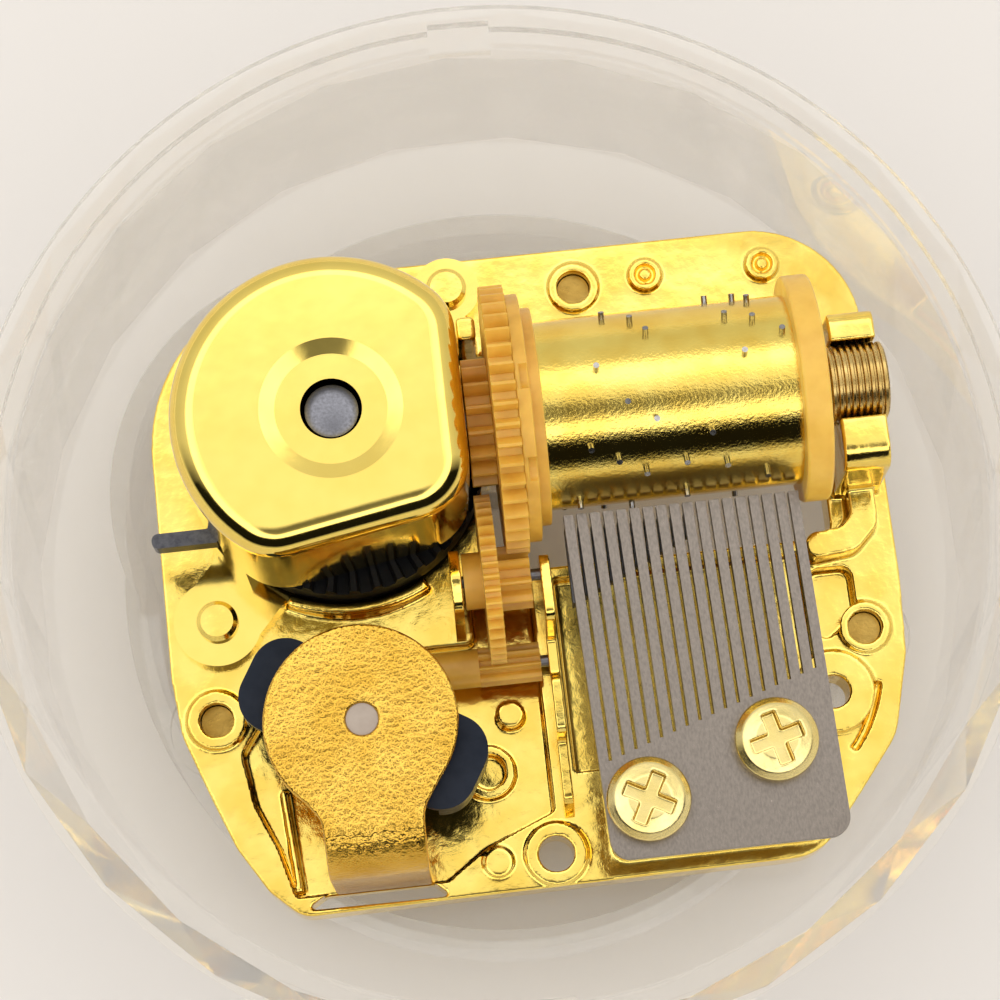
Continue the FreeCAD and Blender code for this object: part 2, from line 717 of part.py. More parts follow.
rivet_parts = []
for k, (x, y, radius) in enumerate(EARS):
    rivet_parts.append(rod("rivet_shank_%d" % k, "rivet_shank", "ear_thickness + 2.7",
                           (x, y, "plate_thickness - 2.7")))
    rivet_parts.append(rod("rivet_head_%d" % k, "rivet_radius", "0.5",
                           (x, y, "plate_thickness + ear_thickness")))
    rivet_parts.append(cone("rivet_crown_%d" % k, "rivet_radius", "rivet_radius - 0.3", "0.25",
                            (x, y, "plate_thickness + ear_thickness + 0.5")))
barrel_rivets = in_movement(fuse("barrel_rivets", rivet_parts))


def spring_shape():
    """Flat spiral strip, standing still between arbor and drum."""
    turns = 6
    steps = 24
    outer = []
    inner = []
    for k in range(turns * steps + 1):
        angle = 360.0 * k / steps
        radius = 2.5 + (7.3 - 2.5) * k / (turns * steps)
        outer.append(polar(radius + 0.14, angle, 8.2))
        inner.append(polar(radius - 0.14, angle, 8.2))
    points = outer + inner[::-1]
    face = Part.Face(Part.makePolygon(points + [points[0]]))
    return face.extrude(Vector(0, 0, 8.2))


mainspring = on_upright(drawn("mainspring", spring_shape()), "arbor_x", "arbor_y")
hook = new_body("spring_hook")
raise_on(hook, "hook_bar", "XY", "9.4",
         [[(-25.2, 2.4, 0.45), (-20.9, 2.4), (-20.9, 3.4), (-25.2, 3.4, 0.45)]], "1.6")
in_movement(hook)

arbor_body = rod("arbor_rod", "arbor_radius",
                 "movement_z + arbor_top - key_low - 3.25",
                 ("arbor_x", "arbor_y", "key_low + 3 - movement_z"))
arbor_tip = cone("arbor_tip", "arbor_radius", "arbor_radius - 0.65", "0.25",
                 ("arbor_x", "arbor_y", "arbor_top - 0.25"))
winding_arbor = in_movement(fuse("winding_arbor", [arbor_body, arbor_tip]))

key_hub = rod("key_hub", "3", "key_top - key_low - 1.4", ("arbor_x", "arbor_y",
              "key_low + 1.4 - movement_z"))
key_bore = rod("key_bore", "arbor_radius", "12", ("arbor_x", "arbor_y",
               "key_low + 3 - movement_z"))
key_parts = [key_hub]
for k, side in enumerate((-1, 1)):
    key_parts.append(block("key_arm_%d" % k, ("key_reach - 5", "1.8", "4.2"),
                           ("arbor_x - %s" % ("(key_reach - 5)" if side < 0 else "0"),
                            "arbor_y - 0.9", "key_low + 1.6 - movement_z")))
    lobe = rod("key_lobe_%d" % k, "3.4", "1.8",
               ("arbor_x + %d * (key_reach - 3.4)" % side, "arbor_y + 0.9",
                "key_low + 3.4 - movement_z"))
    lobe.Placement = Placement(lobe.Placement.Base, Rotation(Vector(1, 0, 0), 90))
    for axis, text in zip("xyz", ("arbor_x + %d * (key_reach - 3.4)" % side, "arbor_y + 0.9",
                                  "key_low + 3.4 - movement_z")):
        bind(lobe, "Placement.Base." + axis, text)
    key_parts.append(lobe)
winding_key = in_movement(cut("winding_key", fuse("key_solid", key_parts), [key_bore]))


def crown_shape():
    """Gear with upright teeth on its rim."""
    low = size("crown_low")
    root = size("crown_root")
    tip = size("crown_tip")
    inner = size("crown_inner")
    outer = size("crown_outer")
    count = int(size("crown_teeth"))
    step = 360.0 / count
    solid = Part.makeCylinder(outer, root - low, Vector(0, 0, low))
    solid = solid.cut(Part.makeCylinder(inner - 1.0, 1.4, Vector(0, 0, root - 0.9)))
    teeth = []
    for k in range(count):
        angle = step * (k + 0.5)
        wires = []
        for height, share in ((root - 0.05, 0.26), (tip - 0.25, 0.17), (tip, 0.12)):
            half = step * share
            ring = [polar(inner, angle - half, height), polar(outer, angle - half, height),
                    polar(outer, angle + half, height), polar(inner, angle + half, height)]
            wires.append(Part.makePolygon(ring + [ring[0]]))
        teeth.append(Part.makeLoft(wires, True, True))
    solid = solid.fuse(teeth)
    return solid.cut(Part.makeCylinder(size("arbor_bore"), 10, Vector(0, 0, low - 1)))


drive_gear = on_upright(drawn("drive_gear", crown_shape()), "arbor_x", "arbor_y")

# ---------------------------------------------------------------- cylinder line
CYLINDER_Y = "cylinder_y"
CYLINDER_Z = "cylinder_z"


def on_cylinder(name, radius, left, right):
    return rod(name, radius, "(%s) - (%s)" % (right, left), (left, CYLINDER_Y, CYLINDER_Z), "X")


cylinder_tube = in_movement(cut(
    "cylinder_tube",
    on_cylinder("tube_outside", "tube_radius", "tube_left", "tube_right"),
    [on_cylinder("tube_inside", "tube_radius - tube_wall", "tube_left - 1", "tube_right + 1")],
))


def pins_shape():
    """Every pin of the tune, seated in the tube's wall."""
    pins = []
    radius = size("pin_radius")
    start = size("tube_radius") - size("tube_wall") * 0.6
    length = size("tube_radius") + size("pin_height") - start
    for track, angles in sorted(TUNE.items()):
        x = size("track_first") + track * size("track_pitch")
        for angle in angles:
            direction = polar(1.0, angle)
            foot = direction * start + Vector(0, 0, x)
            pins.append(Part.makeCylinder(radius, length, foot, direction))
    return Part.makeCompound(pins)


TUNE = {
    0: (215, 262, 331), 1: (172, 228, 300), 2: (126, 250, 340), 3: (79, 210, 286),
    4: (35, 135, 236), 5: (101, 193, 318), 6: (44, 145, 270), 7: (57, 112, 244, 304),
    8: (226, 292, 338), 9: (140, 170, 290), 10: (222, 268, 312), 11: (123, 254, 346),
    12: (18, 145, 232, 296), 13: (50, 206, 276), 14: (24, 79, 262), 15: (31, 55, 157, 322),
    16: (218, 286, 350), 17: (67, 250, 330),
}
cylinder_pins = on_level(drawn("cylinder_pins", pins_shape()), CYLINDER_Y, CYLINDER_Z)

mesh_turn = math.degrees(math.atan2(size("inter_z") - size("cylinder_z"),
                                    size("inter_y") - size("cylinder_y")))
wheel_turn = math.degrees(math.atan2(size("wheel_z") - size("inter_z"),
                                     size("wheel_y") - size("inter_y")))


def cylinder_gear_shape():
    pitch = size("gear_module") * size("gear_teeth") / 2
    points = gear_points(int(size("gear_teeth")), pitch, pitch + size("gear_module"),
                         pitch - 0.46, 0.42, mesh_turn)
    return gear_solid(points, size("gear_left"), size("gear_right"), size("shaft_radius"))


cylinder_gear = on_level(drawn("cylinder_gear", cylinder_gear_shape()), CYLINDER_Y, CYLINDER_Z)

flange_parts = [
    on_cylinder("flange_wide", "flange_radius", "gear_right", "gear_right + 0.9"),
    on_cylinder("flange_narrow", "shoulder_radius", "gear_right + 0.9", "tube_left"),
    on_cylinder("flange_spigot", "tube_radius - tube_wall", "tube_left", "tube_left + 1.2"),
]
flange_bore = on_cylinder("flange_bore", "shaft_radius", "gear_right - 1", "tube_left + 3")
flange_notches = []
for k, angle in enumerate((85.0, 128.0, 205.0, 325.0)):
    spot = polar(size("flange_radius") + 0.2, angle)
    flange_notches.append(rod(
        "flange_notch_%d" % k, "0.9", "2",
        ("gear_right + 0.3", "cylinder_y + %f" % spot.x, "cylinder_z + %f" % spot.y), "X"))
cylinder_flange = in_movement(cut(
    "cylinder_flange", fuse("flange_solid", flange_parts), [flange_bore] + flange_notches))


def crown_pinion_shape():
    points = gear_points(int(size("crown_pinion_teeth")), size("crown_pinion_pitch"),
                         size("crown_pinion_tip"), size("crown_pinion_root"), 0.36, -90.0)
    return gear_solid(points, size("crown_pinion_left"), size("gear_left"),
                      size("shaft_radius"))


cylinder_pinion = on_level(
    drawn("cylinder_pinion", crown_pinion_shape()), CYLINDER_Y, CYLINDER_Z)

end_parts = [
    on_cylinder("end_disc", "end_cap_radius", "tube_right", "end_cap_right"),
    on_cylinder("end_spigot", "tube_radius - tube_wall", "tube_right - 1.2", "tube_right"),
]
end_bore = on_cylinder("end_bore", "shaft_radius", "tube_right - 2", "end_cap_right + 1")
cylinder_end_cap = in_movement(cut(
    "cylinder_end_cap", fuse("end_solid", end_parts), [end_bore]))
cylinder_shaft = rod(
    "cylinder_shaft", "shaft_radius", "shaft_right - shaft_left",
    ("movement_x + shaft_left", "movement_y + cylinder_y", "movement_z + cylinder_z"), "X")

bush_parts = [on_cylinder("bush_middle", "bush_core", "bush_left", "bush_left + bush_length")]
for k in range(int(size("bush_ribs"))):
    left = "bush_left + %d * bush_length / bush_ribs + 0.06" % k
    right = "bush_left + %d * bush_length / bush_ribs + 0.32" % k
    bush_parts.append(on_cylinder("bush_rib_%d" % k, "bush_radius", left, right))
bush_bore = on_cylinder("bush_bore", "shaft_bore", "bush_left - 1", "bush_left + bush_length + 1")
cylinder_bush = in_movement(cut(
    "cylinder_bush", fuse("bush_solid", bush_parts), [bush_bore]))

# ---------------------------------------------------------------- intermediate gear
def stepped_gear(sections, bore):
    """Gear sections (points or radius, left, right) on one bore, fused."""
    solids = []
    for form, left, right in sections:
        if isinstance(form, float):
            solid = Part.makeCylinder(form, right - left, Vector(0, 0, left))
            hole = Part.makeCylinder(bore, right - left + 2, Vector(0, 0, left - 1))
            solid = solid.cut(hole)
        else:
            solid = gear_solid(form, left, right, bore)
        solids.append(solid)
    return solids[0].fuse(solids[1:])


small = size("small_module")
big = size("gear_module")
inter_pinion = gear_points(int(size("inter_pinion_teeth")),
                           big * size("inter_pinion_teeth") / 2, 2.2, 1.36, 0.40,
                           mesh_turn + 180 + 180 / size("inter_pinion_teeth"))
inter_wheel_pitch = small * size("inter_wheel_teeth") / 2
inter_wheel = gear_points(int(size("inter_wheel_teeth")), inter_wheel_pitch,
                          inter_wheel_pitch + small, inter_wheel_pitch - 0.34, 0.42,
                          wheel_turn)
intermediate_gear = on_level(drawn("intermediate_gear", stepped_gear(
    [(inter_pinion, -2.65, -0.5), (inter_wheel, -3.7, -2.65), (1.9, -4.95, -3.7)],
    size("axle_radius"))), "inter_y", "inter_z")
intermediate_axle = rod(
    "intermediate_axle", "axle_radius", "6.6",
    ("movement_x - 5.75", "movement_y + inter_y", "movement_z + inter_z"), "X")

# ---------------------------------------------------------------- worm wheel
worm_pinion = gear_points(int(size("worm_pinion_teeth")),
                          small * size("worm_pinion_teeth") / 2, 1.33, 0.74, 0.40,
                          wheel_turn + 180 + 180 / size("worm_pinion_teeth"))
worm_wheel_teeth = gear_points(int(size("worm_wheel_teeth")), size("worm_wheel_tip") - 0.25,
                               size("worm_wheel_tip"), size("worm_wheel_tip") - 0.6, 0.45, 9.0)
wheel_middle = size("wheel_x")
worm_wheel = on_level(drawn("worm_wheel", stepped_gear(
    [(worm_pinion, -4.5, -0.35), (1.3, -11.6, -4.5),
     (worm_wheel_teeth, wheel_middle - 0.9, -11.6)],
    size("axle_radius"))), "wheel_y", "wheel_z")
worm_wheel_axle = rod(
    "worm_wheel_axle", "axle_radius", "16.5",
    ("movement_x - 15.7", "movement_y + wheel_y", "movement_z + wheel_z"), "X")

# ---------------------------------------------------------------- governor
GOVERNOR = ("wheel_x", "governor_y")
worm_parts = [
    rod("spindle", "spindle_radius", "10.7", GOVERNOR + ("pocket_floor + 0.1",)),
    rod("worm_core", "0.75", "5.6", GOVERNOR + ("2.4",)),
]
for k in range(7):
    worm_parts.append(cone("thread_low_%d" % k, "0.75", "governor_crest", "0.3",
                           GOVERNOR + ("2.6 + %d * 0.75" % k,)))
    worm_parts.append(cone("thread_high_%d" % k, "governor_crest", "0.75", "0.3",
                           GOVERNOR + ("2.9 + %d * 0.75" % k,)))
governor_worm = in_movement(fuse("governor_worm", worm_parts))


def wings_shape():
    """Two curved blades under a plate, held by a hub on the spindle."""
    low = size("wing_low")
    top = size("wing_top")
    reach = size("wing_radius")
    width = size("wing_width")
    across = width / 2
    outline = [(-reach + 0.25, -across, 2.3), (reach - 0.25, -across, 2.3),
               (reach - 0.25, across, 2.3), (-reach + 0.25, across, 2.3)]
    edges = [curve.toShape() for curve in round_outline(outline)]
    form = Part.Face(Part.Wire(edges)).extrude(Vector(0, 0, top - low))
    form.Placement = Placement(Vector(0, 0, low), Rotation())
    form = form.common(Part.makeCylinder(reach, top - low, Vector(0, 0, low)))
    hollow = Part.makeCylinder(reach - 1.1, top - low - 0.8, Vector(0, 0, low))
    hub = Part.makeCylinder(1.6, top - low, Vector(0, 0, low))
    form = form.cut(hollow).fuse(hub)
    return form.cut(Part.makeCylinder(size("spindle_radius"), 10, Vector(0, 0, low - 1)))


governor_wings = on_upright(drawn("governor_wings", wings_shape()), "wheel_x", "governor_y",
                            Rotation(Vector(0, 0, 1), size("wing_turn")))

# ---------------------------------------------------------------- comb
comb = new_body("comb")
tooth_count = int(size("comb_teeth"))
pitch_step = size("track_pitch")
gap = size("comb_gap")
left_edge = size("comb_left")
outline = []
for k in range(tooth_count):
    left = left_edge + k * pitch_step
    right = left + pitch_step - gap
    slot = -14.8 + (right - 3.05) * (14.8 - 10.25) / 13.95
    outline += [(left, size("comb_tip")), (right, size("comb_tip"))]
    if k < tooth_count - 1:
        outline += [(right, slot), (right + gap, slot)]
right_edge = left_edge + tooth_count * pitch_step - gap
outline += [(right_edge, -21.4, 1.3), (left_edge, -21.4, 1.3)]
# the blank sits a little askew: its base leans to the right of the tips
lean = 0.026
outline = [(c[0] + lean * (size("comb_tip") - c[1]),) + tuple(c[1:]) for c in outline]
raise_on(comb, "comb_blank", "XY", "comb_low", [outline], "comb_top - comb_low")
for k, (x, y) in enumerate(((5.4, -17.75), (14.1, -14.8))):
    sink(comb, "comb_hole_%d" % k, "XY", "comb_top + 1", [("ring", x, y, "1.02")], "3")
in_movement(comb)

comb_screw_parts = []
for k, (x, y) in enumerate(((5.4, -17.75), (14.1, -14.8))):
    comb_screw_parts.append(rod("comb_shank_%d" % k, "1", "5", (x, y, "comb_top - 5")))
    comb_screw_parts.append(rod("comb_head_%d" % k, "comb_screw_radius",
                                "comb_screw_height - 0.7", (x, y, "comb_top")))
    comb_screw_parts.append(cone("comb_slope_%d" % k, "comb_screw_radius",
                                 "comb_screw_radius - 0.45", "0.4",
                                 (x, y, "comb_top + comb_screw_height - 0.7")))
    comb_screw_parts.append(cone("comb_crown_%d" % k, "comb_screw_radius - 0.45",
                                 "comb_screw_radius - 1.35", "0.3",
                                 (x, y, "comb_top + comb_screw_height - 0.3")))
crosses = []
for k, (x, y, turn) in enumerate(((5.4, -17.75, -28.0), (14.1, -14.8, 15.0))):
    for arm in (0.0, 90.0):
        bar = block("cross_%d_%d" % (k, arm), ("3.5", "0.95", "1.4"), (0, 0, 0))
        spin = Rotation(Vector(0, 0, 1), turn + arm)
        corner = spin.multVec(Vector(-1.75, -0.475, 0))
        locate(bar, (x + corner.x, y + corner.y, "comb_top + comb_screw_height - 1.1"), spin)
        crosses.append(bar)
comb_screws = in_movement(cut("comb_screws", fuse("comb_screw_solid", comb_screw_parts),
                              crosses))

weights = []
for k in range(10):
    weights.append(block(
        "weight_%d" % k,
        ("track_pitch - comb_gap - 0.04", "%s" % (5.2 - 0.4 * k), "1.6 - %s" % (0.08 * k)),
        ("comb_left + %d * track_pitch + 0.02" % k, "comb_tip - 0.6 - %s" % (5.2 - 0.4 * k),
         "comb_low - 1.6 + %s" % (0.08 * k))))
comb_weights = in_movement(fuse("comb_weights", weights))

# ---------------------------------------------------------------- checks and files
NODES = (
    "case_dish", "foot_ring", "mounting_screws", "bedplate", "gear_bracket_right",
    "gear_bracket_left", "worm_bearing", "governor_cover", "governor_bearing", "barrel_cap",
    "barrel_rivets", "mainspring", "spring_hook", "winding_arbor", "winding_key", "drive_gear",
    "cylinder_tube", "cylinder_pins", "cylinder_gear", "cylinder_flange", "cylinder_pinion",
    "cylinder_end_cap", "cylinder_shaft", "cylinder_bush", "intermediate_gear",
    "intermediate_axle", "worm_wheel", "worm_wheel_axle", "governor_worm", "governor_wings",
    "comb", "comb_screws", "comb_weights",
)
doc.recompute()
for obj in doc.Objects:
    if "Invalid" in obj.State or "Error" in obj.State:
        raise RuntimeError("object %s is %s" % (obj.Name, obj.State))
for name in NODES:
    node = doc.getObject(name)
    node.Label = name
    shape = node.Shape
    if shape.isNull() or not shape.isValid():
        raise RuntimeError("shape of %s is not good" % name)
    if shape.Volume <= 0:
        raise RuntimeError("shape of %s has no volume" % name)
    shape.exportStep("parts/%s.step" % name)
    print("%-20s %9.3f mm3 %d solids" % (name, shape.Volume, len(shape.Solids)))
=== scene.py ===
import json
import math

import bmesh
import bpy
from mathutils import Matrix, Vector


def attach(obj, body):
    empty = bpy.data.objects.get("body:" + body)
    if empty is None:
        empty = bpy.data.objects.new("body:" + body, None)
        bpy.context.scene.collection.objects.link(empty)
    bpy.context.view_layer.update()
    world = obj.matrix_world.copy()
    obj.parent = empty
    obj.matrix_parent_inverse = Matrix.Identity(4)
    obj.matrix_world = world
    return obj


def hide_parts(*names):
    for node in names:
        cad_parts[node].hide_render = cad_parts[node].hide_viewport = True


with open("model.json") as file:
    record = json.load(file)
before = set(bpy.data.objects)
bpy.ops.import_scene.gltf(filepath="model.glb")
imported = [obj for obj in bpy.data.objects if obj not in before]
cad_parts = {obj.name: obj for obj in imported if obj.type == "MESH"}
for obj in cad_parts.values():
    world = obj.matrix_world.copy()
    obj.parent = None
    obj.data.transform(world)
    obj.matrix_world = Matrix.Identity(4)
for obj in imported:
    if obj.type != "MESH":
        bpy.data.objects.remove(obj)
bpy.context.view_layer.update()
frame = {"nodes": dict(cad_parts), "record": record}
MM = 0.001
BODY_OF = {}
for body, members in frame["record"]["behaviour"]["bodies"].items():
    for member in members:
        BODY_OF[member] = body
SLOT_OF = {part["node"]: part["material_slot"] for part in frame["record"]["subparts"]}
CAMERA_AT_MM = (-4.80, -43.49, 225.97)
CAMERA_VIEW = (0.0243, 0.2202, -0.9751)
CAMERA_RIGHT = (0.9940, -0.1097, 0.0)
CAMERA_LENS = 112.1
CAMERA_SENSOR = 36.0


# ------------------------------------------------------------------ materials
def start_material(name):
    material = bpy.data.materials.new(name)
    material.use_nodes = True
    tree = material.node_tree
    shader = tree.nodes["Principled BSDF"]
    return material, tree, shader


def coordinates(tree, scale=(1.0, 1.0, 1.0)):
    """Object coordinates in millimetres, stretched by scale."""
    source = tree.nodes.new("ShaderNodeTexCoord")
    mapping = tree.nodes.new("ShaderNodeMapping")
    mapping.inputs["Scale"].default_value = [1000.0 * s for s in scale]
    tree.links.new(source.outputs["Object"], mapping.inputs["Vector"])
    return mapping.outputs["Vector"]


def noise(tree, vector, scale, detail=3.0, rough=0.55):
    node = tree.nodes.new("ShaderNodeTexNoise")
    node.inputs["Scale"].default_value = scale
    node.inputs["Detail"].default_value = detail
    node.inputs["Roughness"].default_value = rough
    tree.links.new(vector, node.inputs["Vector"])
    return node.outputs["Fac"]


def remap(tree, value, low, high, out_low, out_high):
    node = tree.nodes.new("ShaderNodeMapRange")
    for key, number in (("From Min", low), ("From Max", high),
                        ("To Min", out_low), ("To Max", out_high)):
        node.inputs[key].default_value = number
    tree.links.new(value, node.inputs["Value"])
    return node.outputs["Result"]


def blend_colour(tree, factor, first, second):
    node = tree.nodes.new("ShaderNodeMix")
    node.data_type = "RGBA"
    node.inputs[6].default_value = (*first, 1.0)
    node.inputs[7].default_value = (*second, 1.0)
    tree.links.new(factor, node.inputs[0])
    return node.outputs[2]


def bump(tree, shader, height, distance, strength=1.0, below=None):
    node = tree.nodes.new("ShaderNodeBump")
    node.inputs["Distance"].default_value = distance
    node.inputs["Strength"].default_value = strength
    tree.links.new(height, node.inputs["Height"])
    if below is not None:
        tree.links.new(below, node.inputs["Normal"])
    tree.links.new(node.outputs["Normal"], shader.inputs["Normal"])
    return node.outputs["Normal"]


def gold(name, bright=(1.0, 0.765, 0.19), deep=(0.93, 0.64, 0.12), rough=(0.10, 0.20),
         grain=2.2, depth=0.010, wave=0.0, detail=4.0):
    """Plated metal: grain per mm and depth in mm of its fine skin, wave of its slow swells."""
    material, tree, shader = start_material(name)
    shader.inputs["Metallic"].default_value = 1.0
    place = coordinates(tree)
    broad = noise(tree, place, 0.35, 2.0)
    tone = blend_colour(tree, remap(tree, broad, 0.35, 0.65, 0.0, 1.0), bright, deep)
    tree.links.new(tone, shader.inputs["Base Color"])
    fine = noise(tree, place, grain, detail, 0.6)
    tree.links.new(remap(tree, fine, 0.3, 0.7, rough[0], rough[1]), shader.inputs["Roughness"])
    slow = bump(tree, shader, broad, wave * MM) if wave else None
    bump(tree, shader, fine, depth * MM, 1.0, slow)
    return material


def plastic(name, base, shade, rough=0.45, grain=1.5, depth=0.01, subsurface=0.0,
            shine=0.5):
    """Moulded plastic with a faint mottle, or nylon when light enters it."""
    material, tree, shader = start_material(name)
    shader.inputs["Specular IOR Level"].default_value = shine
    place = coordinates(tree)
    broad = noise(tree, place, 0.5, 3.0)
    tone = blend_colour(tree, remap(tree, broad, 0.35, 0.65, 0.0, 1.0), base, shade)
    tree.links.new(tone, shader.inputs["Base Color"])
    fine = noise(tree, place, grain, 3.0)
    tree.links.new(remap(tree, fine, 0.3, 0.7, rough - 0.07, rough + 0.07),
                   shader.inputs["Roughness"])
    bump(tree, shader, fine, depth * MM)
    if subsurface:
        shader.inputs["Subsurface Weight"].default_value = subsurface
        shader.inputs["Subsurface Radius"].default_value = (0.0012, 0.0007, 0.0003)
        shader.inputs["Subsurface Scale"].default_value = 1.0
    return material


def steel(name, base, shade, rough=0.3, stretch=(1.0, 1.0, 1.0), grain=3.0, depth=0.006):
    """Bare metal whose tone, sheen and skin share one streak."""
    material, tree, shader = start_material(name)
    shader.inputs["Metallic"].default_value = 1.0
    place = coordinates(tree, stretch)
    streak = noise(tree, place, grain, 4.0, 0.6)
    tone = blend_colour(tree, remap(tree, streak, 0.35, 0.65, 0.0, 1.0), base, shade)
    tree.links.new(tone, shader.inputs["Base Color"])
    tree.links.new(remap(tree, streak, 0.3, 0.7, rough - 0.08, rough + 0.1),
                   shader.inputs["Roughness"])
    bump(tree, shader, streak, depth * MM)
    return material


def clear(name, tint, rough, bend, coat, solid, through):
    """Clear moulded plastic: a weak bend of the light under a glossy skin.

    solid is the share that is not simply see-through, and through is the share of that
    which passes light on; the rest is a pale haze.
    """
    material, tree, shader = start_material(name)
    shader.inputs["Base Color"].default_value = (*tint, 1.0)
    shader.inputs["Transmission Weight"].default_value = through
    shader.inputs["IOR"].default_value = bend
    shader.inputs["Alpha"].default_value = solid
    shader.inputs["Coat Weight"].default_value = coat
    shader.inputs["Coat IOR"].default_value = 1.49
    shader.inputs["Coat Roughness"].default_value = 0.02
    place = coordinates(tree)
    haze = noise(tree, place, 0.12, 2.0)
    tree.links.new(remap(tree, haze, 0.4, 0.7, rough, rough + 0.03), shader.inputs["Roughness"])
    bump(tree, shader, haze, 0.03 * MM, 0.5)
    return material


LOOKS = {
    "clear_plastic": clear("clear_plastic_look", (0.93, 0.90, 0.84), 0.01,
                           bend=1.12, coat=0.7, solid=0.52, through=0.86),
    "foot_clear": clear("foot_clear_look", (0.98, 0.95, 0.91), 0.2,
                        bend=1.05, coat=0.3, solid=0.42, through=0.5),
    "gold_plate": gold("gold_plate_look", rough=(0.08, 0.16), grain=2.2, depth=0.016,
                       wave=0.09),
    "drum_gold": gold("drum_gold_look", (1.0, 0.765, 0.19), (0.98, 0.725, 0.165),
                      rough=(0.06, 0.12), grain=0.8, depth=0.003, wave=0.012),
    "tube_gold": gold("tube_gold_look", grain=4.5, depth=0.02, rough=(0.05, 0.11)),
    "sand_gold": gold("sand_gold_look", (0.76, 0.465, 0.08), (0.64, 0.37, 0.05),
                      grain=2.7, depth=0.10, rough=(0.16, 0.26), detail=2.0),
    "bush_brass": gold("bush_brass_look", (0.72, 0.52, 0.20), (0.55, 0.37, 0.12), (0.2, 0.32)),
    "screw_brass": gold("screw_brass_look", (0.92, 0.76, 0.34), (0.84, 0.66, 0.24), (0.18, 0.28)),
    "beige_nylon": plastic("beige_nylon_look", (0.78, 0.44, 0.06), (0.66, 0.35, 0.04),
                           rough=0.38, grain=1.2, depth=0.012, subsurface=0.25),
    "end_cap_nylon": plastic("end_cap_look", (0.84, 0.52, 0.085), (0.76, 0.44, 0.06),
                             rough=0.36, grain=1.2, depth=0.010, subsurface=0.25),
    "black_plastic": plastic("black_plastic_look", (0.004, 0.004, 0.005), (0.008, 0.008, 0.009),
                             rough=0.6, shine=0.15),
    "wing_plastic": plastic("wing_look", (0.010, 0.014, 0.024), (0.018, 0.023, 0.036),
                            rough=0.35, shine=0.12),
    "pale_plastic": plastic("pale_look", (0.50, 0.42, 0.35), (0.42, 0.34, 0.28), 0.5),
    "comb_steel": steel("comb_look", (0.285, 0.245, 0.21), (0.22, 0.19, 0.165),
                        rough=0.34, stretch=(1.0, 0.45, 1.0), grain=7.0, depth=0.008),
    "arbor_steel": steel("arbor_look", (0.25, 0.25, 0.28), (0.20, 0.20, 0.22),
                         rough=0.40, grain=6.0, depth=0.004),
    "key_steel": steel("key_look", (0.50, 0.48, 0.44), (0.42, 0.40, 0.36), 0.3),
    "screw_steel": gold("case_screw_look", (0.46, 0.29, 0.07), (0.30, 0.17, 0.03),
                        rough=(0.25, 0.4), grain=1.0, depth=0.06),
    "pin_steel": steel("pin_look", (0.42, 0.40, 0.38), (0.30, 0.29, 0.28), 0.22),
    "spring_steel": steel("spring_look", (0.06, 0.06, 0.07), (0.11, 0.11, 0.12), 0.35),
    "weight_lead": steel("weight_look", (0.15, 0.15, 0.16), (0.10, 0.10, 0.11), 0.55),
}
# nodes whose look differs from the rest of their slot
SPECIAL = {
    "cylinder_tube": "tube_gold", "governor_cover": "sand_gold",
    "barrel_cap": "drum_gold", "foot_ring": "foot_clear",
}


# ------------------------------------------------------------------ pieces
def look_of(node):
    return LOOKS[SPECIAL.get(node, SLOT_OF[node])]


def new_piece(node, mesh):
    """A finished mesh that stands for a CAD node and moves with its body."""
    piece = bpy.data.objects.new(node + "_look", mesh)
    bpy.context.scene.collection.objects.link(piece)
    piece.data.materials.clear()
    piece.data.materials.append(look_of(node))
    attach(piece, BODY_OF[node])
    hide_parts(node)
    return piece


def clean_mesh(node, sharp):
    """The CAD node's mesh with joined corners and hard edges marked."""
    mesh = frame["nodes"][node].data.copy()
    mesh.name = node + "_look"
    work = bmesh.new()
    work.from_mesh(mesh)
    bmesh.ops.remove_doubles(work, verts=work.verts, dist=0.002 * MM)
    for face in work.faces:
        face.smooth = True
    for edge in work.edges:
        if len(edge.link_faces) == 2:
            edge.smooth = edge.calc_face_angle() < math.radians(sharp)
    work.to_mesh(mesh)
    work.free()
    if "custom_normal" in mesh.attributes:
        mesh.attributes.remove(mesh.attributes["custom_normal"])
    return mesh


def rounded(node, width, segments=3, sharp=35.0):
    """A copy of a CAD node with its hard edges rounded."""
    piece = new_piece(node, clean_mesh(node, sharp))
    bevel = piece.modifiers.new("rounded", "BEVEL")
    bevel.width = width * MM
    bevel.segments = segments
    bevel.limit_method = "ANGLE"
    bevel.angle_limit = math.radians(sharp)
    bevel.harden_normals = True
    bevel.use_clamp_overlap = True
    return piece


def cast(node, voxel, passes):
    """A copy of a CAD node with the soft edges and corners of a plated casting."""
    piece = new_piece(node, clean_mesh(node, 180.0))
    remesh = piece.modifiers.new("cast", "REMESH")
    remesh.mode = "VOXEL"
    remesh.voxel_size = voxel * MM
    remesh.use_smooth_shade = True
    soft = piece.modifiers.new("soft", "SMOOTH")
    soft.factor = 0.5
    soft.iterations = passes
    return piece


# width of the rounded edge, in mm
ROUNDED = {
    "mounting_screws": 0.15, "governor_bearing": 0.08, "barrel_rivets": 0.12,
    "spring_hook": 0.12, "winding_arbor": 0.05, "winding_key": 0.3, "drive_gear": 0.05,
    "cylinder_pins": 0.06, "cylinder_gear": 0.06, "cylinder_flange": 0.10,
    "cylinder_pinion": 0.06, "cylinder_end_cap": 0.22, "cylinder_shaft": 0.05,
    "cylinder_bush": 0.06, "intermediate_gear": 0.05, "intermediate_axle": 0.05,
    "worm_wheel": 0.04, "worm_wheel_axle": 0.05, "governor_worm": 0.04,
    "governor_wings": 0.15, "comb_weights": 0.04, "comb": 0.07,
}
